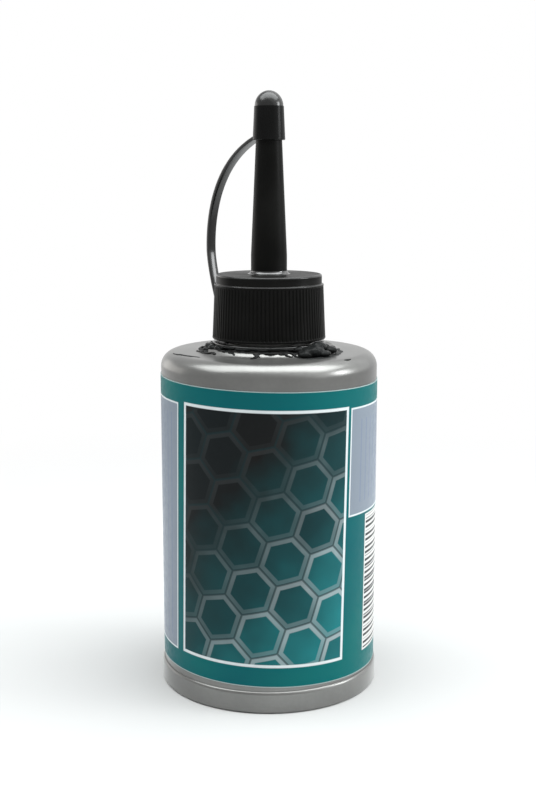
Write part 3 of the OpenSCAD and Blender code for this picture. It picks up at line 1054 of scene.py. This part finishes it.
def grease(name, drops, body, material, wrinkle):
    """Stretched drops, melted into one lumpy skin.

    A drop is (azimuth from the front round to the right, distance from the axis, height, and its
    reach across, outwards and upwards).
    """
    bpy.ops.object.select_all(action="DESELECT")
    piece = None
    for azimuth, reach, height, across, out, up in drops:
        angle = math.radians(azimuth - 90)
        bpy.ops.mesh.primitive_ico_sphere_add(
            subdivisions=2,
            radius=MM,
            location=(reach * math.cos(angle) * MM, reach * math.sin(angle) * MM, height * MM),
            rotation=(0, 0, angle),
            scale=(out, across, up),
        )
        if piece is None:
            piece = bpy.context.object
            piece.name = name
            piece.data.name = name
            bpy.ops.object.transform_apply(location=True, rotation=True, scale=True)
            bpy.ops.object.mode_set(mode="EDIT")
    bpy.ops.object.mode_set(mode="OBJECT")
    melt = piece.modifiers.new("melt", "REMESH")
    melt.mode = "VOXEL"
    melt.voxel_size = grease_voxel * MM
    bpy.ops.object.modifier_apply(modifier="melt")
    if wrinkle:
        ripple = bpy.data.textures.new(name + "_ripple", "CLOUDS")
        ripple.noise_scale = ripple_size * MM
        swell = piece.modifiers.new("swell", "DISPLACE")
        swell.texture = ripple
        swell.texture_coords = "LOCAL"
        swell.strength = wrinkle * MM
        swell.mid_level = 0.6
        bpy.ops.object.modifier_apply(modifier="swell")
    settle = piece.modifiers.new("settle", "SMOOTH")
    settle.factor = 0.5
    settle.iterations = 4 if wrinkle else 2
    bpy.ops.object.modifier_apply(modifier="settle")
    bpy.ops.object.shade_smooth()
    piece.data.materials.append(material)
    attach(piece, body)


def smeared_grease(name, roughness_low, roughness_high, gloss):
    """Black grease, wet where it is thick and dull where it has been wiped thin."""
    material, tree, shader, place = start_material(name)
    streaks = noise(tree, place, streak_scale, 4.0)
    colour = two_tones(tree, streaks, grease_black, grease_grey)
    tree.links.new(colour.outputs["Color"], shader.inputs["Base Color"])
    roughness = ramp_between(tree, streaks, 0.35, 0.7, roughness_low, roughness_high)
    tree.links.new(roughness, shader.inputs["Roughness"])
    shader.inputs["Specular IOR Level"].default_value = gloss
    return material


wet_grease = smeared_grease("wet_grease", 0.05, 0.15, 0.03)
wiped_grease = smeared_grease("wiped_grease", 0.35, 0.6, 0.08)

ring_lumps = []
for azimuth in range(-88, 30, 7):
    ring_lumps.append(
        (
            azimuth + grease_chance.uniform(-2.5, 2.5),
            ring_lump_r + grease_chance.uniform(-0.05, 0.2),
            ring_lump_z + grease_chance.uniform(-0.1, 0.1),
            grease_chance.uniform(0.7, 1.3),
            grease_chance.uniform(0.25, 0.4),
            grease_chance.uniform(0.3, 0.42),
        )
    )
pile = [
    (38, 13.3, 67.0, 2.6, 1.9, 1.2),
    (30, 13.6, 66.6, 1.7, 1.3, 0.8),
    (47, 12.7, 67.6, 2.0, 1.3, 1.1),
    (56, 12.5, 67.3, 1.6, 1.1, 0.9),
    (27, 12.2, 67.3, 1.2, 0.8, 0.7),
    (45, 14.6, 66.6, 1.6, 1.1, 0.65),
    (60, 13.6, 66.8, 1.4, 1.2, 0.7),
    (70, 12.7, 66.9, 1.5, 0.8, 0.5),
    (-84, 11.9, 67.0, 1.2, 0.6, 0.6),
    (-74, 12.1, 67.0, 1.5, 0.8, 0.75),
    (-64, 12.0, 67.0, 1.4, 0.8, 0.7),
    (-55, 11.9, 67.0, 1.2, 0.6, 0.6),
    (-68, 12.9, 66.7, 0.9, 0.7, 0.4),
    (-79, 12.8, 66.7, 0.8, 0.7, 0.4),
]
grease("ring_grease", ring_lumps + pile, "tether", wet_grease, 0.15)
bpy.ops.object.mode_set(mode="EDIT")
bpy.ops.mesh.select_all(action="SELECT")
bpy.ops.mesh.bisect(
    plane_co=(0, 0, pile_floor * MM), plane_no=(0, 0, 1), use_fill=True, clear_inner=True
)
bpy.ops.object.mode_set(mode="OBJECT")

strands = (
    film((-14, 14.1), (-7, 12.6), 0.34, 0.22, 0.06, 1.0)
    + film((-12.5, 12.8), (-7.5, 13.3), 0.28, 0.2)
    + film((-4, 12.5), (6, 12.6), 0.55, 0.25, 0.1, 2.0)
    + film((7, 12.5), (19, 13.4), 0.3, 0.2, 0.15, 1.5)
    + film((12, 12.4), (27, 12.9), 0.36, 0.22, 0.12, 2.0)
    + film((19, 12.5), (24, 14.0), 0.28, 0.2, 0.1, 1.0)
    + film((-38, 12.4), (-30, 13.1), 0.34, 0.2, 0.12, 1.0)
    + film((-50, 12.4), (-36, 12.6), 0.42, 0.22, 0.1, 2.0)
    + film((-27, 12.4), (-15, 12.5), 0.26, 0.16, 0.06, 2.0)
)
grease("shoulder_strands", strands, "bottle", wet_grease, 0.0)
smears = (
    film((-88, 13.2), (-50, 13.4), 0.6, 0.2, 0.2, 3.0)
    + film((-80, 14.0), (-62, 13.8), 0.4, 0.12, 0.15, 1.5)
    + film((28, 15.2), (58, 15.2), 0.6, 0.14, 0.25, 2.0)
    + film((36, 16.0), (48, 15.9), 0.4, 0.12, 0.1, 1.0)
    + film((60, 14.6), (84, 13.5), 0.7, 0.16, 0.25, 2.0)
    + film((-75, 18.9), (-50, 16.9), 0.24, 0.13, 0.15, 1.0)
    + film((-68, 18.2), (-56, 17.5), 0.34, 0.14)
    + film((47, 19.1), (52, 19.2), 0.3, 0.14)
)
grease("shoulder_smears", smears, "bottle", wiped_grease, 0.0)
